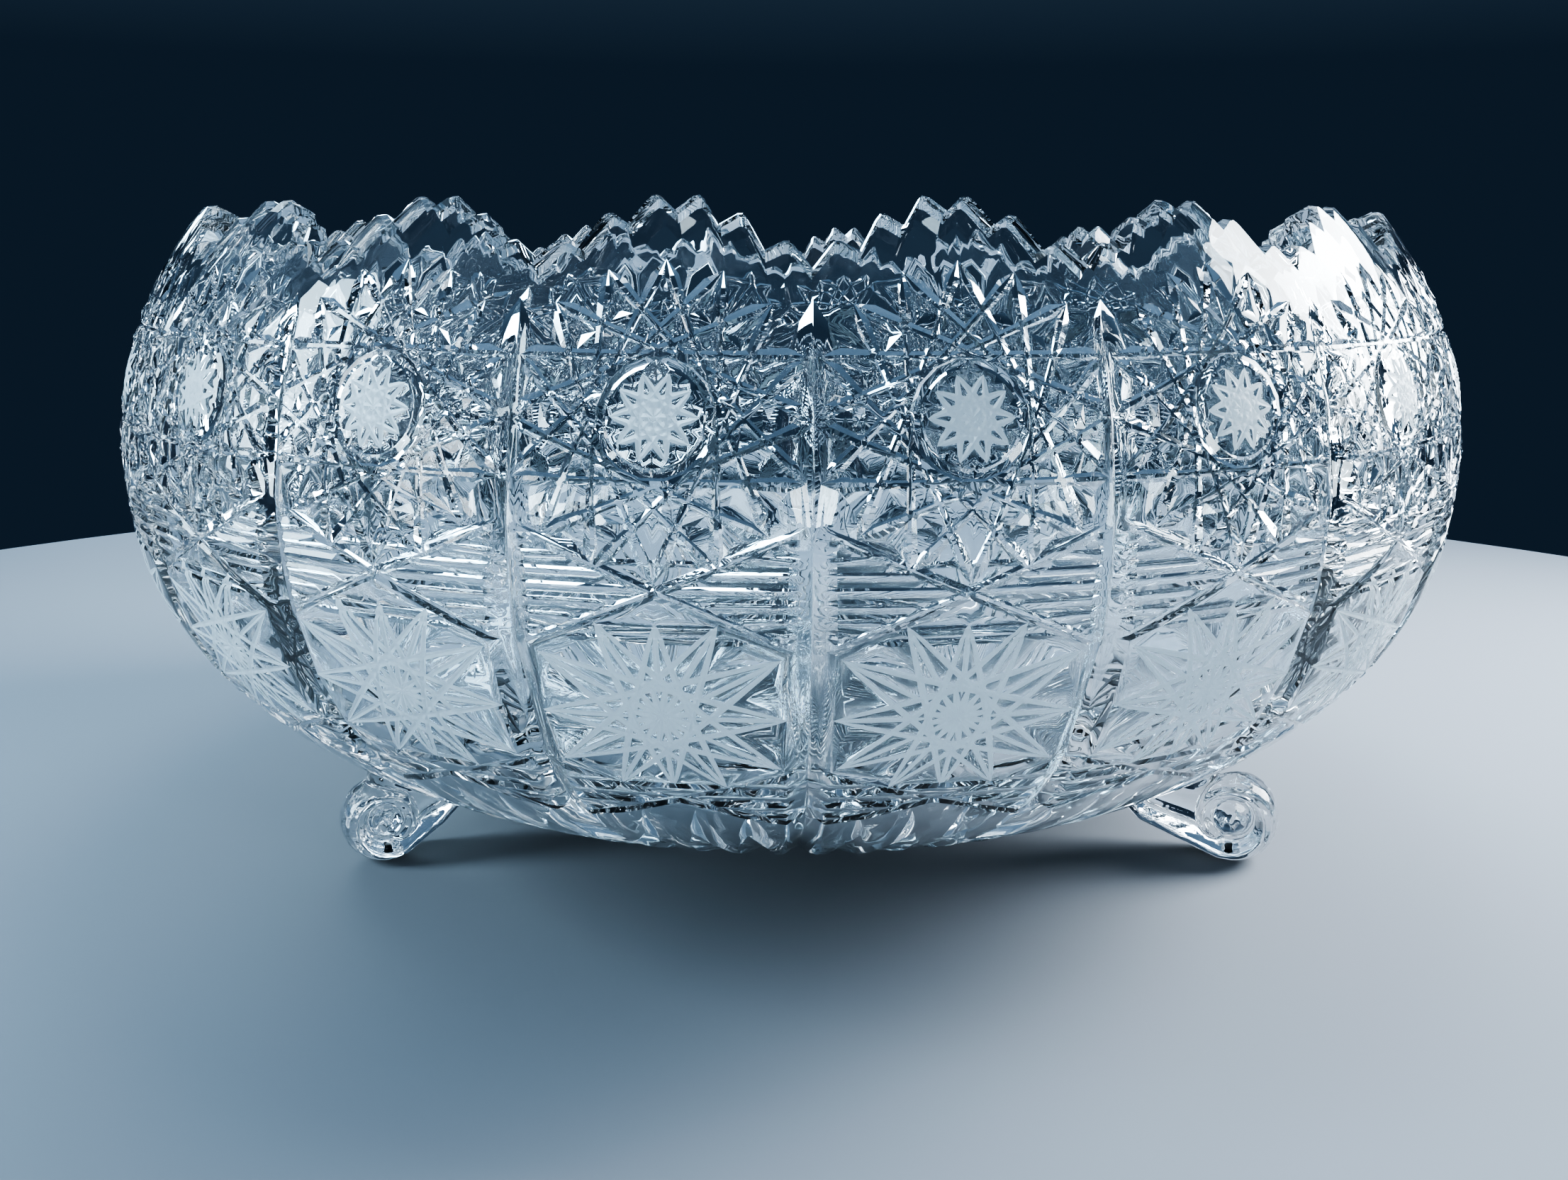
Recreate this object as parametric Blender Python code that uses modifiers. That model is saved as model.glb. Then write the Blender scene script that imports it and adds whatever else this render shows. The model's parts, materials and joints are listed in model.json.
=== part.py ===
"""Footed crystal punch bowl: a turned glass bowl with a toothed, scalloped rim and twenty upright
mitre cuts, standing on three scroll feet of clear glass. Metres, +Z up, origin on the floor under
the bowl's axis. Azimuth 0 is the front, towards -Y, and it grows towards +X."""

import math

import bmesh
import bpy
from mathutils import Matrix, Vector

# Driving dimensions of the bowl
BOWL_RADIUS = 0.140
WIDEST_HEIGHT = 0.0868
BASE_HEIGHT = 0.0143
RIM_HEIGHT = 0.1343
BELLY_DEPTH = 0.0793
BELLY_POWER = 2.3
SHOULDER_DEPTH = 0.0966
WALL = 0.0065
FLOOR_HEIGHT = 0.0225

# Panels, rim and upright cuts
PANELS = 20
STEPS_PER_PANEL = 4
NOTCH_STEPS_PER_PANEL = 12
RIM_DEPTHS = (0.0026, 0.0, 0.0045, 0.0026, 0.0080, 0.0066, 0.0102)
RIM_INNER_RADIUS = 0.1166
RIM_TILT = 0.17
RIM_CUTTER_INSIDE = 0.105
RIM_CUTTER_OUTSIDE = 0.135
RIM_CUTTER_TOP = 0.145
MITRE_DEPTH = 0.0022
MITRE_TOP = 0.1196

# Feet
FEET = (("foot_front_left", -65.0, 0.95), ("foot_front_right", 66.0, 1.02), ("foot_back", 180.0, 1.0))
BALL_RADIUS = 0.0098
BALL_REACH = 0.101
SOLE_CUT = 0.0008
TIP_RADIUS = 0.0030
TIP_REACH = 0.078
TIP_HEIGHT = 0.0140
BODY_POINTS = 7
NECK_RADIUS = 0.0066
NECK_REACH = 0.090
NECK_HEIGHT = 0.0170
FUSE_GAP = 0.0003

# Fineness
BELLY_POINTS = 9
SHOULDER_POINTS = 4
MERGE = 0.00001
FOOT_COLOUR = (0.88, 0.92, 0.95)
BOWL_COLOUR = (0.90, 0.94, 0.97)


def clear_scene():
    for old in list(bpy.data.objects):
        bpy.data.objects.remove(old)


def new_collection(name, hidden=False):
    collection = bpy.data.collections.new(name)
    bpy.context.scene.collection.children.link(collection)
    collection.hide_render = hidden
    return collection


def glass(name, colour, roughness):
    material = bpy.data.materials.new(name)
    material.use_nodes = True
    shader = material.node_tree.nodes["Principled BSDF"]
    shader.inputs["Base Color"].default_value = (*colour, 1.0)
    shader.inputs["Roughness"].default_value = roughness
    shader.inputs["Metallic"].default_value = 0.0
    shader.inputs["Transmission Weight"].default_value = 1.0
    shader.inputs["IOR"].default_value = 1.54
    return material


def add_object(name, mesh, collection):
    piece = bpy.data.objects.new(name, mesh)
    collection.objects.link(piece)
    return piece


def as_cutter(piece):
    piece.hide_render = True
    piece.display_type = "WIRE"
    return piece


def boolean(piece, other, operation):
    """Add an exact Boolean of other to piece."""
    modifier = piece.modifiers.new(f"{operation.lower()} {other.name}", "BOOLEAN")
    modifier.operation = operation
    modifier.solver = "EXACT"
    modifier.object = other


def evaluated_mesh(piece):
    """The mesh of piece with its modifiers or its curve bevel applied."""
    depsgraph = bpy.context.evaluated_depsgraph_get()
    return bpy.data.meshes.new_from_object(piece.evaluated_get(depsgraph))


def wall_point(angle):
    """A point of the outer wall: above the widest circle for a positive angle, below it for a negative one."""
    if angle >= 0.0:
        return Vector((BOWL_RADIUS * math.cos(angle), 0.0, WIDEST_HEIGHT + SHOULDER_DEPTH * math.sin(angle)))
    exponent = 2.0 / BELLY_POWER
    radius = BOWL_RADIUS * math.cos(angle) ** exponent
    return Vector((radius, 0.0, WIDEST_HEIGHT - BELLY_DEPTH * math.sin(-angle) ** exponent))


def wall_angles():
    """Angles of the outer wall's points, from the rim down to the base."""
    rim = math.asin((RIM_HEIGHT - WIDEST_HEIGHT) / SHOULDER_DEPTH)
    base = math.asin(((WIDEST_HEIGHT - BASE_HEIGHT) / BELLY_DEPTH) ** (BELLY_POWER / 2.0))
    shoulder = [rim * (1.0 - i / SHOULDER_POINTS) for i in range(SHOULDER_POINTS)]
    belly = [-base * i / BELLY_POINTS for i in range(BELLY_POINTS + 1)]
    return shoulder + belly


def wall_profile(offset):
    """The outer wall from rim to base, moved outwards by offset along its normal."""
    points = [wall_point(angle) for angle in wall_angles()]
    moved = []
    for i, point in enumerate(points):
        along = points[min(i + 1, len(points) - 1)] - points[max(i - 1, 0)]
        outward = Vector((-along.z, 0.0, along.x)).normalized()
        moved.append(point + outward * offset)
    return moved


def inner_profile():
    """The inner wall from the middle of the flat floor up to the rim."""
    wall = wall_profile(-WALL)
    wall[0].z = RIM_HEIGHT
    above = [point for point in wall if point.z > FLOOR_HEIGHT]
    below = wall[len(above)]
    share = (above[-1].z - FLOOR_HEIGHT) / (above[-1].z - below.z)
    corner = above[-1].lerp(below, share)
    return [Vector((0.0, 0.0, FLOOR_HEIGHT)), corner] + above[::-1]


def turned(name, points, steps, collection, closed=False):
    """A solid of revolution: the profile at +X, with a Screw modifier about Z."""
    profile = bmesh.new()
    corners = [profile.verts.new(point) for point in points]
    for start, end in zip(corners, corners[1:]):
        profile.edges.new((start, end))
    if closed:
        profile.edges.new((corners[-1], corners[0]))
    mesh = bpy.data.meshes.new(name)
    profile.to_mesh(mesh)
    profile.free()
    piece = add_object(name, mesh, collection)
    screw = piece.modifiers.new("turn", "SCREW")
    screw.steps = steps
    screw.render_steps = steps
    screw.use_merge_vertices = True
    screw.merge_threshold = MERGE
    return piece


def rim_depth(step):
    """Depth of the rim's outline below the highest teeth, at a step counted from the front cut."""
    within = step % NOTCH_STEPS_PER_PANEL
    from_middle = abs(within - NOTCH_STEPS_PER_PANEL // 2)
    return RIM_DEPTHS[from_middle]


def rim_cutter(collection):
    """A ring whose lower side is the rim's outline of teeth and notches, lower on the outside."""
    low = BASE_HEIGHT
    corners = ((RIM_CUTTER_INSIDE, low), (RIM_CUTTER_INSIDE, RIM_CUTTER_TOP))
    corners += ((RIM_CUTTER_OUTSIDE, RIM_CUTTER_TOP), (RIM_CUTTER_OUTSIDE, low))
    points = [Vector((radius, 0.0, height)) for radius, height in corners]
    blank = turned("rim_blank", points, PANELS * NOTCH_STEPS_PER_PANEL, collection, closed=True)
    mesh = evaluated_mesh(blank)
    bpy.data.objects.remove(blank)
    step_angle = math.tau / (PANELS * NOTCH_STEPS_PER_PANEL)
    for vertex in mesh.vertices:
        if vertex.co.z > WIDEST_HEIGHT:
            continue
        azimuth = math.atan2(vertex.co.x, -vertex.co.y)
        outward = vertex.co.xy.length - RIM_INNER_RADIUS
        vertex.co.z = RIM_HEIGHT - rim_depth(round(azimuth / step_angle)) - RIM_TILT * outward
    return as_cutter(add_object("rim_cutter", mesh, collection))


def tube(name, points, radii, sides_level, collection):
    """A closed tube through points as a mesh, with its caps welded."""
    curve = bpy.data.curves.new(name, "CURVE")
    curve.dimensions = "3D"
    curve.bevel_depth = 1.0
    curve.bevel_resolution = sides_level
    curve.use_fill_caps = True
    spline = curve.splines.new("POLY")
    spline.points.add(len(points) - 1)
    for place, point, radius in zip(spline.points, points, radii):
        place.co = (*point, 1.0)
        place.radius = radius
    guide = add_object(name + "_guide", curve, collection)
    mesh = evaluated_mesh(guide)
    bpy.data.objects.remove(guide)
    weld = bmesh.new()
    weld.from_mesh(mesh)
    bmesh.ops.remove_doubles(weld, verts=weld.verts, dist=MERGE)
    bmesh.ops.recalc_face_normals(weld, faces=weld.faces)
    weld.to_mesh(mesh)
    weld.free()
    return mesh


def mitre_cutter(collection):
    """Twenty square tubes along the outer wall, edge inwards, one for each panel boundary."""
    points = [point for point in wall_profile(0.0) if point.z < MITRE_TOP]
    top = points[0] + (points[0] - points[1]).normalized() * (MITRE_TOP - points[0].z)
    end = points[-1] - Vector((2.0 * MITRE_DEPTH, 0.0, 0.0))
    route = [top] + points + [end]
    radii = [MITRE_DEPTH * 0.3] + [MITRE_DEPTH] * (len(route) - 2) + [MITRE_DEPTH * 0.5]
    single = tube("mitre", route, radii, 0, collection)
    ring = bmesh.new()
    for panel in range(PANELS):
        turn = Matrix.Rotation(math.tau * panel / PANELS, 4, "Z")
        copy = single.copy()
        copy.transform(turn)
        ring.from_mesh(copy)
    mesh = bpy.data.meshes.new("mitre_cutter")
    ring.to_mesh(mesh)
    ring.free()
    return as_cutter(add_object("mitre_cutter", mesh, collection))


def make_bowl(parts, cutters):
    points = inner_profile() + wall_profile(0.0) + [Vector((0.0, 0.0, BASE_HEIGHT))]
    bowl = turned("bowl", points, PANELS * STEPS_PER_PANEL, parts)
    boolean(bowl, mitre_cutter(cutters), "DIFFERENCE")
    boolean(bowl, rim_cutter(cutters), "DIFFERENCE")
    bowl.data.materials.append(glass("bowl glass", BOWL_COLOUR, 0.02))
    return bowl


def bowl_clearance(collection):
    """The bowl's outer shape grown by the fusing gap, to cut the tops of the feet."""
    wall = wall_profile(FUSE_GAP)
    lid = Vector((0.0, 0.0, wall[0].z))
    under = Vector((0.0, 0.0, wall[-1].z))
    return as_cutter(turned("bowl_clearance", [lid] + wall + [under], PANELS * STEPS_PER_PANEL, collection))


def floor_cutter(collection):
    """A block under the floor, to give the feet their flat soles."""
    mesh = bpy.data.meshes.new("floor_cutter")
    block = bmesh.new()
    bmesh.ops.create_cube(block, size=4.0 * BOWL_RADIUS)
    bmesh.ops.translate(block, verts=block.verts, vec=(0.0, 0.0, -2.0 * BOWL_RADIUS))
    block.to_mesh(mesh)
    block.free()
    return as_cutter(add_object("floor_cutter", mesh, collection))


def ball(name, centre, radius, segments, collection):
    mesh = bpy.data.meshes.new(name)
    sphere = bmesh.new()
    bmesh.ops.create_uvsphere(sphere, u_segments=segments, v_segments=segments // 2, radius=radius)
    bmesh.ops.translate(sphere, verts=sphere.verts, vec=centre)
    sphere.to_mesh(mesh)
    sphere.free()
    return as_cutter(add_object(name, mesh, collection))


def foot_body(name, scale, collection):
    """The foot's tapering body, from the inner tip to the middle of the ball, along +X."""
    radius = BALL_RADIUS * scale
    tip = Vector((TIP_REACH, 0.0, TIP_HEIGHT))
    end = Vector((BALL_REACH * scale, 0.0, radius - SOLE_CUT))
    points = []
    radii = []
    for i in range(BODY_POINTS):
        share = i / (BODY_POINTS - 1)
        points.append(tip.lerp(end, share))
        radii.append(TIP_RADIUS + (radius - TIP_RADIUS) * math.sin(share * math.pi / 2.0))
    return tube(name, points, radii, 3, collection)


def make_foot(name, azimuth, scale, bowl_shape, floor, parts, cutters):
    foot = add_object(name, foot_body(name, scale, cutters), parts)
    foot.rotation_euler.z = math.radians(azimuth - 90.0)
    radius = BALL_RADIUS * scale
    centre = (BALL_REACH * scale, 0.0, radius - SOLE_CUT)
    toe = ball(name + "_ball", centre, radius, 20, cutters)
    neck = ball(name + "_neck", (NECK_REACH, 0.0, NECK_HEIGHT), NECK_RADIUS, 14, cutters)
    for blob in (toe, neck):
        blob.rotation_euler.z = foot.rotation_euler.z
        boolean(foot, blob, "UNION")
    boolean(foot, bowl_shape, "DIFFERENCE")
    boolean(foot, floor, "DIFFERENCE")
    foot.data.materials.append(glass(name + " glass", FOOT_COLOUR, 0.01))
    return foot


def smooth(piece):
    piece.data.shade_smooth()
    piece.data.set_sharp_from_angle(angle=math.radians(25.0))


def main():
    clear_scene()
    parts = new_collection("punch_bowl")
    cutters = new_collection("cutters", hidden=True)
    make_bowl(parts, cutters)
    bowl_shape = bowl_clearance(cutters)
    floor = floor_cutter(cutters)
    for name, azimuth, scale in FEET:
        smooth(make_foot(name, azimuth, scale, bowl_shape, floor, parts, cutters))


main()
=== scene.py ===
"""Looks of the footed crystal punch bowl: the cut pattern, the toothed rim, the scroll feet, the
glass, the light and the camera. Metres, +Z up. A panel's own coordinates are across, the arc from
its middle at the widest circle, and down, the length along the outer wall from the highest teeth."""

import bisect
import json
import math

import bmesh
import bpy
from mathutils import Matrix, Vector, noise
from mathutils.geometry import delaunay_2d_cdt


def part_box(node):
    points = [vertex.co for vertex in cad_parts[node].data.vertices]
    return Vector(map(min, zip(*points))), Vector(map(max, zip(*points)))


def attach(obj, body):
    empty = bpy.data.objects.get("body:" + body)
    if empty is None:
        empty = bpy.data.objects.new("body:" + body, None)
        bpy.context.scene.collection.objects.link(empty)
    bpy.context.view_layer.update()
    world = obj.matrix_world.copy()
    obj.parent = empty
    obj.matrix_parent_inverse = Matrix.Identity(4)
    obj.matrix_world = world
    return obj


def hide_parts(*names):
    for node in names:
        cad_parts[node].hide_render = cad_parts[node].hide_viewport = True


MM = 0.001

# The bowl's turned shape, as in the CAD model
PANELS = 20
WIDEST_SHARE = 0.62
BELLY_DEPTH = 79.3 * MM
BELLY_POWER = 2.3
SHOULDER_DEPTH = 96.6 * MM
WALL = 6.5 * MM
FLOOR_ABOVE_BASE = 8.2 * MM
SIDE_MARGIN = 0.55 * MM
TOP_MARGIN = 0.15 * MM
PROFILE_SAMPLES = 600
BASE_MIDDLE = 5.0 * MM
NORMAL_REACH = 1.2 * MM
HALVINGS = 40

# The rim: depth of its outline below the highest teeth at seven even steps from a panel's middle
RIM_DEPTHS = (2.6 * MM, 0.0, 4.5 * MM, 2.6 * MM, 8.0 * MM, 6.4 * MM, 10.4 * MM)
TOOTH_ROUNDING = 0.22
RIM_BEVEL = 1.1 * MM
RIM_EDGE_DROP = 2.0 * MM
RIM_LIFT = 1.4 * MM

# The sixteen-point star and its button
STAR_DOWN = 36.0 * MM
STAR_RADIUS = 22.8 * MM
STAR_POINTS = 16
STAR_SKIP = 6
STAR_HALF_WIDTH = 0.58 * MM
STAR_LEAF_HALF_WIDTH = 1.05 * MM
STAR_SLOPE = 0.90
FIELD_SLOPE = 0.25
FIELD_RISE_LIMIT = 0.5 * MM
FIELD_FADE = 3.0 * MM
BUTTON_RADIUS = 6.9 * MM
BUTTON_RISE = 0.6 * MM
BUTTON_EDGE = 0.3 * MM
BUTTON_SEGMENTS = 32
BUTTON_RING_SHARE = 0.84
BUTTON_RING_POINTS = 20
BUTTON_STAR_RADIUS = 6.3 * MM
BUTTON_STAR_POINTS = 10
BUTTON_STAR_SKIP = 4
BUTTON_STAR_TURN = 2.5
BUTTON_STROKE = 0.54 * MM
BUTTON_ROSETTE_STROKES = 4
BUTTON_ROSETTE_MM = 2.6
BUTTON_ROSETTE_STROKE = 0.55 * MM

# The crossed bands with their flutes
UPPER_CROSS_DOWN = 60.0 * MM
UPPER_CROSS_RISE = 9.3 * MM
LOWER_CROSS_DOWN = 99.2 * MM
LOWER_CROSS_RISE = 9.0 * MM
CROSS_HALF_WIDTH = 0.85 * MM
CROSS_SLOPE = 0.7
CROSS_TAPER = 0.02
UPPER_FLUTE_PITCH = 2.2 * MM
UPPER_FLUTE_LEVELS = (-3, -2, -1, 0, 1, 2, 3)
LOWER_FLUTE_PITCH = 3.6 * MM
LOWER_FLUTE_LEVELS = (-1, 0, 1)
FLUTE_SLOPE = 0.40
FLUTE_GAP = 0.4 * MM
FLUTE_OVERLAP = 0.5 * MM
SHORTEST_FLUTE = 4.0 * MM
FLUTE_TIP_SHARE = 0.15

# Level cuts over and under the crosses: length down, half length, half width
LEVEL_CUTS = ((UPPER_CROSS_DOWN - 4.2 * MM, 7.5 * MM, 0.55 * MM),
              (UPPER_CROSS_DOWN + 5.3 * MM, 10.5 * MM, 0.6 * MM),
              (UPPER_CROSS_DOWN + 6.9 * MM, 13.5 * MM, 0.6 * MM),
              (LOWER_CROSS_DOWN - 4.3 * MM, 8.5 * MM, 0.8 * MM))
LEVEL_SLOPE = FLUTE_SLOPE * 1.3
LEVEL_TAPER = 0.08

# The upright cuts and rays: distance down the wall and half width, in millimetres
UPRIGHT_SHAPE = ((19.3, 0.0), (22.5, 2.0), (27.5, 2.8), (51.5, 3.1), (63.5, 3.5), (91.5, 3.6),
                 (113.5, 3.5), (151.5, 3.4), (216.0, 0.4))
UPRIGHT_SLOPE = 0.55
RAY_SHAPE = ((113.5, 0.0), (121.5, 2.6), (151.5, 3.5), (216.0, 0.4))

# Cross-sections of the cuts: share of the half width, share of the depth
V_SECTION = ((0.0, 1.0), (1.0, 0.0))
FLAT_SECTION = ((0.0, 1.0), (0.34, 1.0), (1.0, 0.0))
SCOOP_SECTION = ((0.0, 1.0), (0.08, 0.88), (0.55, 0.62), (1.0, 0.0))
FLUTE_SECTION = ((0.0, 1.0), (0.5, 0.78), (1.0, 0.0))

# The frosted stars
FROST_STAR_DOWN = 79.7 * MM
FROST_STAR_ACROSS = 18.6 * MM
FROST_STAR_UP = 15.5 * MM
FROST_STAR_POINTS = 12
FROST_STAR_SKIP = 5
FROST_SLOPE = 0.45
FROST_STROKE = 0.52 * MM
FROST_POINT_STROKE = 0.42 * MM
FROST_POINT_INNER_SHARE = 0.24
ROSETTE_STROKES = 8
ROSETTE_MM = 5.4
ROSETTE_STROKE = 0.62 * MM
CORNER_POWER = 4.0

# Fineness
GRID_PITCH = 4.2 * MM
FIELD_SEARCH_PITCH = 0.45 * MM
WELD = 0.02 * MM
LOWEST_PEAK = 0.3 * MM
DOT_GAP = 0.5 * MM
SHARP_DEGREES = 26.0
WAVE_HEIGHT = 0.13 * MM
WAVE_LENGTH = 10.0 * MM

# The smooth inside: rings down the wall, and the radii of the floor's rings as shares of its edge
INNER_START = 16.0 * MM
INNER_ROWS = 22
INNER_ROW_STEP = 0.1 * MM
FLOOR_SHARES = (0.94, 0.6, 0.25)

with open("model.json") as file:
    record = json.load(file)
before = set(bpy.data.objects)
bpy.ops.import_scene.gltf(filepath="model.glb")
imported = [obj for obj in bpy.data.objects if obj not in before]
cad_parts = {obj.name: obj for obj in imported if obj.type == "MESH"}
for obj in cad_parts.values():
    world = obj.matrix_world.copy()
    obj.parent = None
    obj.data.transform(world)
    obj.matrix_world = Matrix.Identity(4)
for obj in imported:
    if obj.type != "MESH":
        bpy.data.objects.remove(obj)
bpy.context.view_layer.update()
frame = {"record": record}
BOWL_LOW, BOWL_HIGH = (Vector(corner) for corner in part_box("bowl"))
RADIUS = (BOWL_HIGH.x - BOWL_LOW.x) / 2.0 - SIDE_MARGIN
RIM_HEIGHT = BOWL_HIGH.z - TOP_MARGIN
BASE_HEIGHT = BOWL_LOW.z
WIDEST_HEIGHT = WIDEST_SHARE * RADIUS
HALF_PANEL = math.pi * RADIUS / PANELS


# ---------------------------------------------------------------- the turned wall

def wall_point(angle):
    """Radius and height on the outer wall: above the widest circle for a positive angle."""
    if angle >= 0.0:
        return RADIUS * math.cos(angle), WIDEST_HEIGHT + SHOULDER_DEPTH * math.sin(angle)
    power = 2.0 / BELLY_POWER
    return RADIUS * math.cos(angle) ** power, WIDEST_HEIGHT - BELLY_DEPTH * math.sin(-angle) ** power


def wall_table():
    """Samples of the outer wall and the base: length down, radius, height."""
    rim = math.asin((RIM_HEIGHT + RIM_LIFT - WIDEST_HEIGHT) / SHOULDER_DEPTH)
    base = math.asin(((WIDEST_HEIGHT - BASE_HEIGHT) / BELLY_DEPTH) ** (BELLY_POWER / 2.0))
    angles = [rim - (rim + base) * i / PROFILE_SAMPLES for i in range(PROFILE_SAMPLES + 1)]
    points = [wall_point(angle) for angle in angles]
    edge = points[-1][0]
    steps = int((edge - BASE_MIDDLE) / MM)
    points += [(edge - (edge - BASE_MIDDLE) * i / steps, BASE_HEIGHT) for i in range(1, steps + 1)]
    lengths = [0.0]
    for (r0, z0), (r1, z1) in zip(points, points[1:]):
        lengths.append(lengths[-1] + math.hypot(r1 - r0, z1 - z0))
    return lengths, points


LENGTHS, WALL_POINTS = wall_table()
LAST_DOWN = LENGTHS[-1]


def on_wall(down):
    """Radius and height of the outer surface at a length down."""
    i = min(max(bisect.bisect_right(LENGTHS, down) - 1, 0), len(LENGTHS) - 2)
    share = (down - LENGTHS[i]) / (LENGTHS[i + 1] - LENGTHS[i])
    (r0, z0), (r1, z1) = WALL_POINTS[i], WALL_POINTS[i + 1]
    return r0 + (r1 - r0) * share, z0 + (z1 - z0) * share


def outward(down):
    """Unit normal of the outer surface, as a radial and a vertical part."""
    r0, z0 = on_wall(max(down - NORMAL_REACH, 0.0))
    r1, z1 = on_wall(min(down + NORMAL_REACH, LAST_DOWN))
    length = math.hypot(r1 - r0, z1 - z0)
    return (z0 - z1) / length, (r1 - r0) / length


def down_at_height(height):
    """Length down to a height on the wall above its base."""
    low, high = 0.0, LAST_DOWN
    for _ in range(HALVINGS):
        middle = (low + high) / 2.0
        if on_wall(middle)[1] > height:
            low = middle
        else:
            high = middle
    return low


def ring_point(azimuth, down, height):
    """A point at a height over the outer surface. Azimuth 0 is the front."""
    radius, level = on_wall(down)
    side, up = outward(down)
    radius += side * height
    return Vector((radius * math.sin(azimuth), -radius * math.cos(azimuth), level + up * height))


# ---------------------------------------------------------------- the pattern of one panel

def between(places, values, place):
    """The value at a place, in straight steps between the given ones."""
    i = min(max(bisect.bisect_right(places, place) - 1, 0), len(places) - 2)
    share = min(max((place - places[i]) / (places[i + 1] - places[i]), 0.0), 1.0)
    return values[i] + (values[i + 1] - values[i]) * share


class Cut:
    """A straight cut. Its half width is given at shares of its length."""

    def __init__(self, start, end, shape, slope, section=V_SECTION, frosted=False):
        self.start = Vector(start)
        self.end = Vector(end)
        self.length = (self.end - self.start).length
        self.along = (self.end - self.start) / self.length
        self.side = Vector((-self.along.y, self.along.x))
        self.distances = [share * self.length for share, _ in shape]
        self.widths = [width for _, width in shape]
        self.slope = slope
        self.section_places = [share for share, _ in section]
        self.section_depths = [depth for _, depth in section]
        self.frosted = frosted

    def inside(self, point):
        """How far a point lies inside the cut's edge: below 0 outside it, None past its ends."""
        offset = point - self.start
        distance = offset.dot(self.along)
        if not 0.0 <= distance <= self.length:
            return None
        return between(self.distances, self.widths, distance) - abs(offset.dot(self.side))

    def depth(self, point):
        margin = self.inside(point)
        if margin is None or margin <= 0.0:
            return 0.0
        width = margin + abs((point - self.start).dot(self.side))
        return width * self.slope * between(self.section_places, self.section_depths, 1.0 - margin / width)

    def covers(self, point):
        margin = self.inside(point)
        return margin is not None and margin > 0.0

    def clears(self, point, gap):
        margin = self.inside(point)
        return margin is None or margin < -gap

    def outlines(self):
        """The lines that the cut's section follows, as lists of points."""
        places = [(self.start + self.along * d, w) for d, w in zip(self.distances, self.widths)]
        shares = [sign * share for share in self.section_places[1:] for sign in (-1.0, 1.0)]
        if self.section_depths[1] < self.section_depths[0]:
            shares.append(0.0)
        return [[place + self.side * w * share for place, w in places] for share in shares]


def even_shape(width, taper):
    """A cut of even width that runs out at both ends."""
    return ((0.0, 0.0), (taper, width), (1.0 - taper, width), (1.0, 0.0))


def leaf_shape(width):
    """A cut that widens gently to its middle."""
    shoulder = 0.62 * width
    return ((0.0, 0.0), (0.08, shoulder), (0.3, width), (0.7, width), (0.92, shoulder), (1.0, 0.0))


def star_shape():
    """A cut of the big star: narrow inside, leaf-shaped at its two points."""
    wide = STAR_LEAF_HALF_WIDTH
    narrow = STAR_HALF_WIDTH
    half = ((0.0, 0.0), (0.07, wide), (0.15, 0.8 * wide), (0.22, narrow))
    return half + tuple((1.0 - share, width) for share, width in reversed(half))


def round_tips(centre, radii, count):
    """Tips at even directions from the top. The radii span a box with rounded corners."""
    across, up = radii
    tips = []
    for i in range(count):
        turn = math.tau * i / count
        x, y = math.sin(turn), -math.cos(turn)
        reach = ((x / across) ** CORNER_POWER + (y / up) ** CORNER_POWER) ** (-1.0 / CORNER_POWER)
        tips.append(centre + Vector((x, y)) * reach)
    return tips


def star_cuts():
    centre = Vector((0.0, STAR_DOWN))
    tips = []
    for i in range(STAR_POINTS):
        turn = math.tau * i / STAR_POINTS
        tips.append(centre + Vector((math.sin(turn), -math.cos(turn))) * STAR_RADIUS)
    lines = [(tips[i], tips[(i + STAR_SKIP) % STAR_POINTS]) for i in range(STAR_POINTS)]
    return [Cut(start, end, star_shape(), STAR_SLOPE, FLAT_SECTION) for start, end in lines]


def cross_cuts(down, rise):
    """Two long cuts that cross in the middle of the panel, corner to corner."""
    shape = even_shape(CROSS_HALF_WIDTH, CROSS_TAPER)
    cuts = []
    for sign in (-1.0, 1.0):
        start = (-HALF_PANEL, down - sign * rise)
        end = (HALF_PANEL, down + sign * rise)
        cuts.append(Cut(start, end, shape, CROSS_SLOPE, FLAT_SECTION))
    return cuts


def flute_cuts(down, rise, pitch, levels):
    """Level flutes between the arms of a cross and the upright cuts."""
    cuts = []
    for level in levels:
        offset = level * pitch
        inner = HALF_PANEL * abs(offset) / rise + FLUTE_GAP
        outer = HALF_PANEL + FLUTE_OVERLAP
        if outer - inner < SHORTEST_FLUTE:
            continue
        for sign in (-1.0, 1.0):
            start = (sign * inner, down + offset)
            end = (sign * outer, down + offset)
            shape = ((0.0, 0.0), (FLUTE_TIP_SHARE, pitch / 2.0), (1.0, pitch / 2.0))
            cuts.append(Cut(start, end, shape, FLUTE_SLOPE, FLUTE_SECTION))
    return cuts


def level_cut(down, reach, width):
    return Cut((-reach, down), (reach, down), even_shape(width, LEVEL_TAPER), LEVEL_SLOPE)


def upright_shape(points):
    first, last = points[0][0], points[-1][0]
    return tuple(((down - first) / (last - first), width * MM) for down, width in points)


def upright_cut(across, points):
    start = (across, points[0][0] * MM)
    end = (across, points[-1][0] * MM)
    return Cut(start, end, upright_shape(points), UPRIGHT_SLOPE, SCOOP_SECTION)


def frosted(start, end, width):
    return Cut(start, end, leaf_shape(width), FROST_SLOPE, frosted=True)


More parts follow.
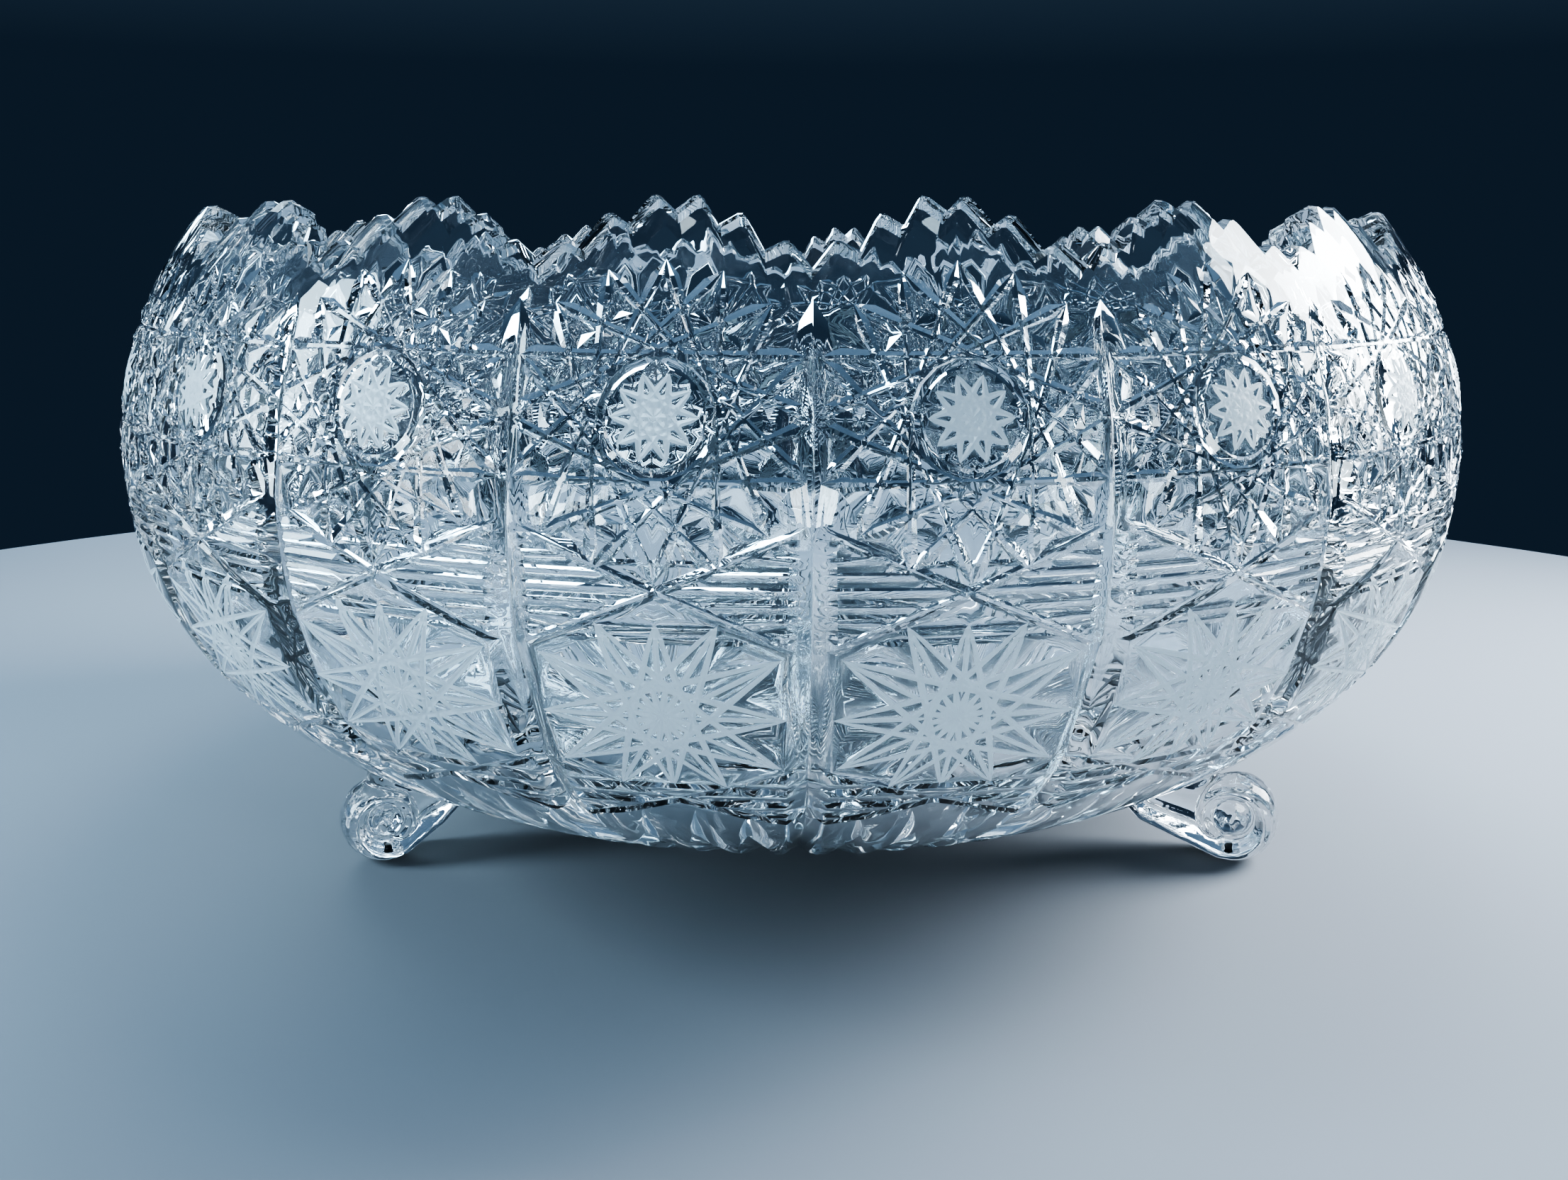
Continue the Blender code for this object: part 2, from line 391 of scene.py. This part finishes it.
def frost_star_cuts():
    """The large frosted star: long strokes tip to tip, one stroke down each point, a fine rosette."""
    centre = Vector((0.0, FROST_STAR_DOWN))
    tips = round_tips(centre, (FROST_STAR_ACROSS, FROST_STAR_UP), FROST_STAR_POINTS)
    cuts = []
    for i, tip in enumerate(tips):
        far = tips[(i + FROST_STAR_SKIP) % FROST_STAR_POINTS]
        cuts.append(frosted(tip, far, FROST_STROKE))
        cuts.append(frosted(tip, centre.lerp(tip, FROST_POINT_INNER_SHARE), FROST_POINT_STROKE))
    for i in range(ROSETTE_STROKES):
        turn = math.pi * (i + 0.5) / ROSETTE_STROKES
        arm = Vector((math.cos(turn), math.sin(turn))) * ROSETTE_MM * MM
        cuts.append(frosted(centre - arm, centre + arm, ROSETTE_STROKE))
    return cuts


def button_star_cuts():
    """The small frosted star on the button."""
    centre = Vector((0.0, STAR_DOWN))
    tips = []
    for i in range(BUTTON_STAR_POINTS):
        turn = math.tau * (i + BUTTON_STAR_TURN) / BUTTON_STAR_POINTS
        tips.append(centre + Vector((math.sin(turn), -math.cos(turn))) * BUTTON_STAR_RADIUS)
    cuts = []
    for i, tip in enumerate(tips):
        cuts.append(frosted(tip, tips[(i + BUTTON_STAR_SKIP) % BUTTON_STAR_POINTS], BUTTON_STROKE))
    for i in range(BUTTON_ROSETTE_STROKES):
        turn = math.pi * i / BUTTON_ROSETTE_STROKES
        arm = Vector((math.cos(turn), math.sin(turn))) * BUTTON_ROSETTE_MM * MM
        cuts.append(frosted(centre - arm, centre + arm, BUTTON_ROSETTE_STROKE))
    return cuts


STAR_CUTS = star_cuts()


def panel_cuts():
    cuts = list(STAR_CUTS)
    cuts += cross_cuts(UPPER_CROSS_DOWN, UPPER_CROSS_RISE)
    cuts += cross_cuts(LOWER_CROSS_DOWN, LOWER_CROSS_RISE)
    cuts += flute_cuts(UPPER_CROSS_DOWN, UPPER_CROSS_RISE, UPPER_FLUTE_PITCH, UPPER_FLUTE_LEVELS)
    cuts += flute_cuts(LOWER_CROSS_DOWN, LOWER_CROSS_RISE, LOWER_FLUTE_PITCH, LOWER_FLUTE_LEVELS)
    cuts += [level_cut(down, reach, width) for down, reach, width in LEVEL_CUTS]
    for sign in (-1.0, 1.0):
        cuts.append(upright_cut(sign * HALF_PANEL, UPRIGHT_SHAPE))
        cuts.append(upright_cut(sign * HALF_PANEL / 2.0, RAY_SHAPE))
    cuts.append(upright_cut(0.0, RAY_SHAPE))
    cuts += frost_star_cuts()
    cuts += button_star_cuts()
    return cuts


CUTS = panel_cuts()


def field_clearance(point):
    """Distance to the nearest of the big star's cuts, for a point in the fields between them."""
    reach = (point - Vector((0.0, STAR_DOWN))).length
    if not BUTTON_RADIUS + BUTTON_EDGE < reach < STAR_RADIUS:
        return 0.0
    margins = [cut.inside(point) for cut in STAR_CUTS]
    clearance = max(-max(margin for margin in margins if margin is not None), 0.0)
    return clearance * min((STAR_RADIUS - reach) / FIELD_FADE, 1.0)


def ground(point):
    """Height of the uncut surface: a low dome over the button, pointed fields round it."""
    share = (point - Vector((0.0, STAR_DOWN))).length / BUTTON_RADIUS
    if share < 1.0:
        return BUTTON_RISE * (1.0 - share * share)
    return min(FIELD_SLOPE * field_clearance(point), FIELD_RISE_LIMIT)


def surface_height(point):
    deepest = max(cut.depth(point) for cut in CUTS)
    scale = min(on_wall(point.y)[0] / RADIUS, 1.0)
    return ground(point) - deepest * scale


def is_frosted(point):
    return any(cut.frosted and cut.covers(point) for cut in CUTS)


def field_peaks():
    """The middles of the fields between the big star's cuts, in the half panel."""
    step = FIELD_SEARCH_PITCH
    columns = int(HALF_PANEL / step)
    rows = int(2.0 * STAR_RADIUS / step)
    top = STAR_DOWN - STAR_RADIUS
    level = {(i, j): field_clearance(Vector((i * step, top + j * step)))
             for i in range(columns + 1) for j in range(rows + 1)}
    peaks = []
    for (i, j), clearance in level.items():
        near = [level.get((i + a, j + b), 0.0) for a in (-1, 0, 1) for b in (-1, 0, 1)]
        if clearance > LOWEST_PEAK and clearance >= max(near) and 0 < i < columns:
            peaks.append(Vector((i * step, top + j * step)))
    return peaks


# ---------------------------------------------------------------- the rim's outline

def rim_outline():
    """Outline of half a panel's rim, from its middle: across and down, with rounded teeth."""
    corners = []
    for i, depth in enumerate(RIM_DEPTHS):
        across = HALF_PANEL * i / (len(RIM_DEPTHS) - 1)
        corners.append(Vector((across, down_at_height(RIM_HEIGHT + RIM_LIFT - depth))))
    outline = [corners[0]]
    for before, corner, after in zip(corners, corners[1:], corners[2:]):
        is_tooth = corner.y < min(before.y, after.y)
        if is_tooth:
            ahead = corner.lerp(before, TOOTH_ROUNDING)
            behind = corner.lerp(after, TOOTH_ROUNDING)
            outline += [ahead, (ahead + behind) / 4.0 + corner / 2.0, behind]
        else:
            outline.append(corner)
    outline.append(corners[-1])
    return outline


OUTLINE = rim_outline()


def outline_down(across):
    for start, end in zip(OUTLINE, OUTLINE[1:]):
        if start.x <= across <= end.x:
            return start.y + (end.y - start.y) * (across - start.x) / (end.x - start.x)
    return OUTLINE[-1].y


# ---------------------------------------------------------------- half a panel as triangles

class Drawing:
    """Points and edges that the triangles have to follow."""

    def __init__(self):
        self.points = []
        self.edges = []

    def line(self, points):
        first = len(self.points)
        self.points += [Vector((p.x, p.y)) for p in points]
        self.edges += [(i, i + 1) for i in range(first, first + len(points) - 1)]

    def dot(self, point):
        self.points.append(point)


def circle(centre, radius, count):
    return [centre + Vector((math.cos(a), math.sin(a))) * radius
            for a in (math.tau * i / count for i in range(count + 1))]


def touches_half(points):
    return max(p.x for p in points) > -MM and min(p.x for p in points) < HALF_PANEL + MM


def draw_half_panel():
    drawing = Drawing()
    top = [Vector((p.x, p.y + RIM_EDGE_DROP)) for p in OUTLINE]
    bottom = LAST_DOWN
    drawing.line(top)
    drawing.line([top[0], Vector((0.0, bottom))])
    drawing.line([top[-1], Vector((HALF_PANEL, bottom))])
    drawing.line([Vector((0.0, bottom)), Vector((HALF_PANEL, bottom))])
    for cut in CUTS:
        for outline in cut.outlines():
            if touches_half(outline):
                drawing.line(outline)
    centre = Vector((0.0, STAR_DOWN))
    drawing.line(circle(centre, BUTTON_RADIUS, BUTTON_SEGMENTS))
    for point in circle(centre, BUTTON_RADIUS * BUTTON_RING_SHARE, BUTTON_RING_POINTS)[:-1]:
        drawing.dot(point)
    for point in field_peaks():
        drawing.dot(point)
    rows = int(bottom / GRID_PITCH)
    columns = int(HALF_PANEL / GRID_PITCH)
    for row in range(rows + 1):
        for column in range(columns + 1):
            shift = 0.5 * (row % 2)
            point = Vector(((column + shift) * HALF_PANEL / columns, row * bottom / rows))
            clear = all(cut.clears(point, DOT_GAP) for cut in CUTS)
            clear = clear and field_clearance(point) == 0.0
            if clear and point.y > outline_down(min(point.x, HALF_PANEL)) + RIM_EDGE_DROP + MM:
                drawing.dot(point)
    return drawing


def half_panel():
    """Vertices (across, down, height) and triangles (corners, frosted) of half a panel."""
    drawing = draw_half_panel()
    result = delaunay_2d_cdt(drawing.points, drawing.edges, [], 0, WELD)
    flat = [Vector(v) for v in result[0]]
    kept = []
    for corners in result[2]:
        middle = sum((flat[i] for i in corners), Vector((0.0, 0.0))) / 3.0
        inside = 0.0 < middle.x < HALF_PANEL and middle.y < LAST_DOWN
        if inside and middle.y > outline_down(middle.x) + RIM_EDGE_DROP:
            kept.append((corners, is_frosted(middle)))
    used = sorted({i for corners, _ in kept for i in corners})
    place = {old: new for new, old in enumerate(used)}
    vertices = []
    for i in used:
        point = flat[i]
        if abs(point.x) < WELD:
            point.x = 0.0
        if abs(point.x - HALF_PANEL) < WELD:
            point.x = HALF_PANEL
        vertices.append((point.x, point.y, surface_height(point)))
    triangles = [(tuple(place[i] for i in corners), frost) for corners, frost in kept]
    return vertices, triangles


# ---------------------------------------------------------------- the whole bowl

def wave(point):
    """A slow waviness of the pressed glass, outwards or inwards."""
    height = WAVE_HEIGHT * noise.noise(point / WAVE_LENGTH)
    radial = Vector((point.x, point.y, 0.0))
    if radial.length > MM:
        point += radial.normalized() * height * min(radial.length / RADIUS, 1.0)
    return point


def add_outer_surface(mesh):
    vertices, triangles = half_panel()
    panel_angle = math.tau / PANELS
    for panel in range(PANELS):
        middle = (panel + 0.5) * panel_angle
        for sign in (-1.0, 1.0):
            made = [mesh.verts.new(ring_point(middle + sign * across / RADIUS, down, height))
                    for across, down, height in vertices]
            for corners, frost in triangles:
                face = mesh.faces.new([made[i] for i in corners])
                face.material_index = 1 if frost else 0


def rim_columns():
    """Azimuth and outline length of each upright row of vertices around the rim."""
    columns = []
    mirrored = [(-p.x, p.y) for p in reversed(OUTLINE[1:])]
    whole = mirrored + [(p.x, p.y) for p in OUTLINE[:-1]]
    for panel in range(PANELS):
        middle = (panel + 0.5) * math.tau / PANELS
        columns += [(middle + across / RADIUS, down) for across, down in whole]
    return columns


def inner_floor_down():
    """Length down where the inner wall, offset inwards, reaches the flat floor."""
    floor = BASE_HEIGHT + FLOOR_ABOVE_BASE
    down = down_at_height(WIDEST_HEIGHT)
    while True:
        up = outward(down)[1]
        if on_wall(down)[1] - up * WALL <= floor:
            return down
        down += INNER_ROW_STEP


def add_inner_surface(mesh):
    """The rim's bevelled top and the smooth inside, ring by ring."""
    columns = rim_columns()
    last = inner_floor_down()
    rings = []

    def ring(place, height):
        rings.append([mesh.verts.new(ring_point(azimuth, place(down), height))
                      for azimuth, down in columns])

    ring(lambda down: down + RIM_EDGE_DROP, 0.0)
    ring(lambda down: down + RIM_EDGE_DROP - RIM_BEVEL, -RIM_BEVEL)
    ring(lambda down: down, -(WALL - RIM_BEVEL))
    ring(lambda down: down + RIM_BEVEL, -WALL)
    ring(lambda down: (down + RIM_BEVEL + INNER_START) / 2.0, -WALL)
    for row in range(INNER_ROWS + 1):
        level = INNER_START + (last - INNER_START) * row / INNER_ROWS
        ring(lambda down: level, -WALL)
    floor = BASE_HEIGHT + FLOOR_ABOVE_BASE
    edge = Vector(rings[-1][0].co.xy).length
    for share in FLOOR_SHARES:
        radius = edge * share
        rings.append([mesh.verts.new((radius * math.sin(a), -radius * math.cos(a), floor))
                      for a, _ in columns])
    for upper, lower in zip(rings, rings[1:]):
        for i in range(len(columns)):
            j = (i + 1) % len(columns)
            mesh.faces.new((upper[i], upper[j], lower[j], lower[i]))
    mesh.faces.new(rings[-1])


def close_base(mesh):
    """A flat disc over the small hole in the middle of the underside."""
    open_edges = [edge for edge in mesh.edges if edge.is_boundary]
    bmesh.ops.contextual_create(mesh, geom=open_edges)


def finish_mesh(mesh, name, sharp_degrees):
    data = bpy.data.meshes.new(name)
    mesh.to_mesh(data)
    mesh.free()
    data.shade_smooth()
    data.set_sharp_from_angle(angle=math.radians(sharp_degrees))
    piece = bpy.data.objects.new(name, data)
    bpy.context.scene.collection.objects.link(piece)
    return piece


def make_bowl():
    mesh = bmesh.new()
    add_outer_surface(mesh)
    add_inner_surface(mesh)
    bmesh.ops.remove_doubles(mesh, verts=mesh.verts, dist=WELD)
    close_base(mesh)
    for vertex in mesh.verts:
        vertex.co = wave(vertex.co)
    bmesh.ops.recalc_face_normals(mesh, faces=mesh.faces)
    bowl = finish_mesh(mesh, "cut_bowl", SHARP_DEGREES)
    bowl.data.materials.append(clear_crystal())
    bowl.data.materials.append(frosted_crystal())
    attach(bowl, "root")
    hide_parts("bowl")


# ---------------------------------------------------------------- materials

IOR = 1.545
BUMP_DETAIL = 2.0

def glass_material(name, colour, roughness, transmission):
    material = bpy.data.materials.new(name)
    material.use_nodes = True
    shader = material.node_tree.nodes["Principled BSDF"]
    shader.inputs["Base Color"].default_value = (*colour, 1.0)
    shader.inputs["Roughness"].default_value = roughness
    shader.inputs["IOR"].default_value = IOR
    shader.inputs["Transmission Weight"].default_value = transmission
    return material, shader


def add_bump(material, shader, scale, strength, distance):
    """Fine unevenness of the surface."""
    nodes, links = material.node_tree.nodes, material.node_tree.links
    texture = nodes.new("ShaderNodeTexNoise")
    texture.inputs["Scale"].default_value = scale
    texture.inputs["Detail"].default_value = BUMP_DETAIL
    coordinates = nodes.new("ShaderNodeTexCoord")
    bump = nodes.new("ShaderNodeBump")
    bump.inputs["Strength"].default_value = strength
    bump.inputs["Distance"].default_value = distance
    links.new(coordinates.outputs["Object"], texture.inputs["Vector"])
    links.new(texture.outputs["Fac"], bump.inputs["Height"])
    links.new(bump.outputs["Normal"], shader.inputs["Normal"])


def clear_crystal():
    material, shader = glass_material("clear crystal", (0.93, 0.975, 1.0), 0.0, 1.0)
    add_bump(material, shader, 90.0, 0.25, 0.0002)
    return material


def frosted_crystal():
    material, shader = glass_material("frosted crystal", (0.86, 0.95, 1.0), 0.55, 0.30)
    add_bump(material, shader, 2500.0, 0.35, 0.0001)
    return material


def foot_glass():
    material, shader = glass_material("foot glass", (0.96, 0.98, 1.0), 0.0, 1.0)
    add_bump(material, shader, 60.0, 0.3, 0.0003)
    return material


# ---------------------------------------------------------------- feet

FEET = {"foot_front_left": "left_scroll_foot", "foot_front_right": "right_scroll_foot",
        "foot_back": "back_scroll_foot"}
CAD_BALL_RADIUS = 9.8 * MM
CAD_BALL_REACH = 101.0 * MM
TIP_REACH = 78.0 * MM
ROPE_RADIUS = 2.9 * MM
BEAD_SPACING = 0.6 * MM
VOXEL = 0.42 * MM
SOFTENING_ROUNDS = 5
CENTRE_DROP = 0.35 * MM
BOWL_GAP = 0.03 * MM

# The roll: where its sole starts beyond the tip, and how it turns in from there
SOLE_START = 7.0 * MM
SCROLL_STEPS = 26
SCROLL_FROM_DEGREES = -115.0
SCROLL_SWEEP_DEGREES = 345.0
SCROLL_TIGHTENING = 0.36
ROPE_THINNING = 0.3
ROPE_HALF_THICKNESS = 6.4 * MM
ROPE_HALF_LOSS = 0.8 * MM
TIP_ROPE_SHARE = 0.75

# The ball in the roll: radius as a share of the roll's, and half thickness
WEB_SHARE, WEB_HALF_THICKNESS = 0.86, 3.4 * MM
EYE_SHARE, EYE_HALF_THICKNESS = 0.44, 7.2 * MM
BODY_SHARE, BODY_HALF_THICKNESS = 0.7, 4.2 * MM


class Beads:
    """Overlapping beads that a remesh joins into one solid."""

    def __init__(self):
        ball = bmesh.new()
        bmesh.ops.create_icosphere(ball, subdivisions=2, radius=1.0)
        self.ball = [vertex.co.copy() for vertex in ball.verts]
        self.ball_faces = [[vertex.index for vertex in face.verts] for face in ball.faces]
        ball.free()
        self.vertices = []
        self.faces = []

    def add(self, centre, radius, half_thickness):
        first = len(self.vertices)
        size = Vector((radius, half_thickness, radius))
        self.vertices += [centre + co * size for co in self.ball]
        self.faces += [[first + i for i in face] for face in self.ball_faces]

    def chain(self, path):
        """Close beads along a path of points, radii and half thicknesses."""
        for (p0, r0, t0), (p1, r1, t1) in zip(path, path[1:]):
            steps = math.ceil((p1 - p0).length / BEAD_SPACING)
            for step in range(steps + 1):
                share = step / steps
                self.add(p0.lerp(p1, share), r0 + (r1 - r0) * share, t0 + (t1 - t0) * share)


def scroll_path(centre, ball):
    """From the tip along the sole, round the outside, over the top and in to the middle."""
    path = [(Vector((TIP_REACH, 0.0, 13.6 * MM)), TIP_ROPE_SHARE * ROPE_RADIUS, 3.6 * MM),
            (Vector((TIP_REACH + SOLE_START, 0.0, 8.4 * MM)), ROPE_RADIUS, 5.4 * MM)]
    for i in range(SCROLL_STEPS):
        share = i / (SCROLL_STEPS - 1)
        turn = math.radians(SCROLL_FROM_DEGREES + SCROLL_SWEEP_DEGREES * share)
        reach = (ball - ROPE_RADIUS) * (1.0 - SCROLL_TIGHTENING * max(2.0 * share - 1.0, 0.0))
        point = centre + Vector((math.cos(turn), 0.0, math.sin(turn))) * reach
        half_thickness = ROPE_HALF_THICKNESS - ROPE_HALF_LOSS * share
        path.append((point, ROPE_RADIUS * (1.0 - ROPE_THINNING * share), half_thickness))
    return path


def foot_beads(ball, centre):
    beads = Beads()
    beads.chain(scroll_path(centre, ball))
    beads.add(centre, ball * WEB_SHARE, WEB_HALF_THICKNESS)
    eye = centre + Vector((-0.2 * MM, 0.0, 0.4 * MM))
    beads.add(eye, ball * EYE_SHARE, EYE_HALF_THICKNESS)
    body = centre + Vector((-1.5 * MM, 0.0, 1.5 * MM))
    beads.chain([(body, ball * BODY_SHARE, BODY_HALF_THICKNESS),
                 (Vector((TIP_REACH + SOLE_START, 0.0, 14.0 * MM)), 5.2 * MM, 4.6 * MM),
                 (Vector((TIP_REACH, 0.0, 14.4 * MM)), 2.4 * MM, 3.4 * MM)])
    beads.chain([(Vector((86.0 * MM, 0.0, 17.0 * MM)), 5.0 * MM, 5.0 * MM),
                 (Vector((94.0 * MM, 0.0, 18.0 * MM)), 5.0 * MM, 5.2 * MM)])
    return beads


def underside_height(radius):
    """Height of the uncut outer surface over a point of the floor, below the widest circle."""
    heights = [z for r, z in WALL_POINTS[:PROFILE_SAMPLES + 1] if z < WIDEST_HEIGHT]
    radii = [r for r, z in WALL_POINTS[:PROFILE_SAMPLES + 1] if z < WIDEST_HEIGHT]
    return between(radii[::-1], heights[::-1], radius)


UNDERSIDE = [underside_height(i * MM) for i in range(int(RADIUS / MM) + 2)]


def fit_under_bowl(point):
    """Keeps a foot's vertex above the floor and just under the bowl."""
    radius = Vector(point.xy).length / MM
    low = int(radius)
    level = UNDERSIDE[low] + (UNDERSIDE[low + 1] - UNDERSIDE[low]) * (radius - low)
    point.z = min(max(point.z, 0.0), level - BOWL_GAP)
    return point


def joined_mesh(beads, name):
    data = bpy.data.meshes.new(name)
    data.from_pydata(beads.vertices, [], beads.faces)
    holder = bpy.data.objects.new(name, data)
    bpy.context.scene.collection.objects.link(holder)
    remesh = holder.modifiers.new("join", "REMESH")
    remesh.mode = "VOXEL"
    remesh.voxel_size = VOXEL
    soften = holder.modifiers.new("soften", "SMOOTH")
    soften.factor = 0.5
    soften.iterations = SOFTENING_ROUNDS
    evaluated = holder.evaluated_get(bpy.context.evaluated_depsgraph_get())
    joined = bpy.data.meshes.new_from_object(evaluated)
    bpy.data.objects.remove(holder)
    return joined


def make_foot(node, name):
    sole = next(m for m in frame["record"]["mounts"] if m["name"] == node.replace("foot", "sole"))
    reach = Vector(sole["pos_m"]).length
    azimuth = math.atan2(sole["pos_m"][1], sole["pos_m"][0])
    ball = CAD_BALL_RADIUS * reach / CAD_BALL_REACH
    centre = Vector((reach, 0.0, ball - CENTRE_DROP))
    joined = joined_mesh(foot_beads(ball, centre), name)
    joined.transform(Matrix.Rotation(azimuth, 4, "Z"))
    for vertex in joined.vertices:
        vertex.co = fit_under_bowl(vertex.co.copy())
    joined.shade_smooth()
    joined.materials.append(foot_glass())
    foot = bpy.data.objects.new(name, joined)
    bpy.context.scene.collection.objects.link(foot)
    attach(foot, "root")
    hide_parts(node)


# ---------------------------------------------------------------- stage, light and camera

FLOOR_RADIUS = 0.44
FLOOR_SEGMENTS = 96
FLOOR_COLOUR = (0.41, 0.44, 0.49, 1.0)
FLOOR_ROUGHNESS = 0.75

# The studio's colour low down and overhead: place in the ramp, colour
BACKDROP = ((0.12, (0.014, 0.026, 0.045, 1.0)), (0.85, (0.16, 0.26, 0.38, 1.0)))

# Name, place, size, watts, colour, spread in degrees
SOFTBOXES = (("key softbox", (0.54, 0.12, 0.33), (0.30, 0.40), 2.9, (0.90, 0.96, 1.0), 110.0),
             ("left softbox", (-0.56, -0.10, 0.26), (0.14, 0.32), 0.95, (0.66, 0.87, 1.0), 120.0),
             ("top softbox", (0.02, 0.06, 0.66), (0.22, 0.22), 0.7, (0.76, 0.91, 1.0), 180.0),
             ("back softbox", (-0.28, 0.80, 0.30), (0.60, 0.14), 1.2, (0.62, 0.85, 1.0), 120.0),
             ("low left softbox", (-0.42, -0.58, 0.08), (0.18, 0.10), 0.34, (0.70, 0.89, 1.0), 90.0),
             ("low right softbox", (0.48, -0.52, 0.08), (0.18, 0.10), 0.24, (0.80, 0.93, 1.0), 90.0))

# The camera: lens and sensor in millimetres, place in bowl radii, angles in degrees
LENS = 33.0
SENSOR_WIDTH = 36.0
CAMERA_TURN = -1.1
CAMERA_STAND = (-0.009, -2.36, 0.90)
CAMERA_DOWN = 13.1
CAMERA_ROLL = 0.28
NEAREST_SEEN = 0.01

# How often light may pass through or bounce off glass
GLASS_BOUNCES = 32
GLOSSY_BOUNCES = 8

def make_stage():
    mesh = bmesh.new()
    bmesh.ops.create_circle(mesh, cap_ends=True, segments=FLOOR_SEGMENTS, radius=FLOOR_RADIUS)
    data = bpy.data.meshes.new("floor")
    mesh.to_mesh(data)
    mesh.free()
    floor = bpy.data.objects.new("floor", data)
    bpy.context.scene.collection.objects.link(floor)
    material = bpy.data.materials.new("pale floor")
    material.use_nodes = True
    shader = material.node_tree.nodes["Principled BSDF"]
    shader.inputs["Base Color"].default_value = FLOOR_COLOUR
    shader.inputs["Roughness"].default_value = FLOOR_ROUGHNESS
    data.materials.append(material)


def add_softbox(name, place, size, power, colour, spread):
    light = bpy.data.lights.new(name, "AREA")
    light.shape = "RECTANGLE"
    light.size, light.size_y = size
    light.energy = power
    light.color = colour
    light.spread = math.radians(spread)
    lamp = bpy.data.objects.new(name, light)
    lamp.location = place
    target = Vector((0.0, 0.0, RIM_HEIGHT / 2.0))
    lamp.rotation_euler = (target - Vector(place)).to_track_quat("-Z", "Y").to_euler()
    bpy.context.scene.collection.objects.link(lamp)


def make_backdrop():
    """A dark studio, lighter overhead."""
    world = bpy.data.worlds.new("studio")
    bpy.context.scene.world = world
    world.use_nodes = True
    nodes, links = world.node_tree.nodes, world.node_tree.links
    coordinates = nodes.new("ShaderNodeTexCoord")
    split = nodes.new("ShaderNodeSeparateXYZ")
    ramp = nodes.new("ShaderNodeValToRGB")
    for element, (position, colour) in zip(ramp.color_ramp.elements, BACKDROP):
        element.position = position
        element.color = colour
    links.new(coordinates.outputs["Generated"], split.inputs["Vector"])
    links.new(split.outputs["Z"], ramp.inputs["Fac"])
    links.new(ramp.outputs["Color"], nodes["Background"].inputs["Color"])


def make_light():
    for softbox in SOFTBOXES:
        add_softbox(*softbox)


def make_camera():
    camera = bpy.data.cameras.new("camera")
    camera.lens = LENS
    camera.sensor_width = SENSOR_WIDTH
    holder = bpy.data.objects.new("camera", camera)
    bpy.context.scene.collection.objects.link(holder)
    turn = Matrix.Rotation(math.radians(CAMERA_TURN), 4, "Z")
    stand = Matrix.Translation([share * RADIUS for share in CAMERA_STAND])
    tilt = Matrix.Rotation(math.radians(90.0 - CAMERA_DOWN), 4, "X")
    roll = Matrix.Rotation(math.radians(CAMERA_ROLL), 4, "Z")
    holder.matrix_world = turn @ stand @ tilt @ roll
    camera.clip_start = NEAREST_SEEN
    bpy.context.scene.camera = holder


def set_light_paths():
    cycles = bpy.context.scene.cycles
    cycles.max_bounces = GLASS_BOUNCES
    cycles.transmission_bounces = GLASS_BOUNCES
    cycles.glossy_bounces = GLOSSY_BOUNCES
    cycles.caustics_refractive = False
    cycles.caustics_reflective = False


make_bowl()
for node_name, piece_name in FEET.items():
    make_foot(node_name, piece_name)
make_stage()
make_backdrop()
make_light()
make_camera()
bpy.context.scene.view_settings.look = "AgX - High Contrast"
set_light_paths()
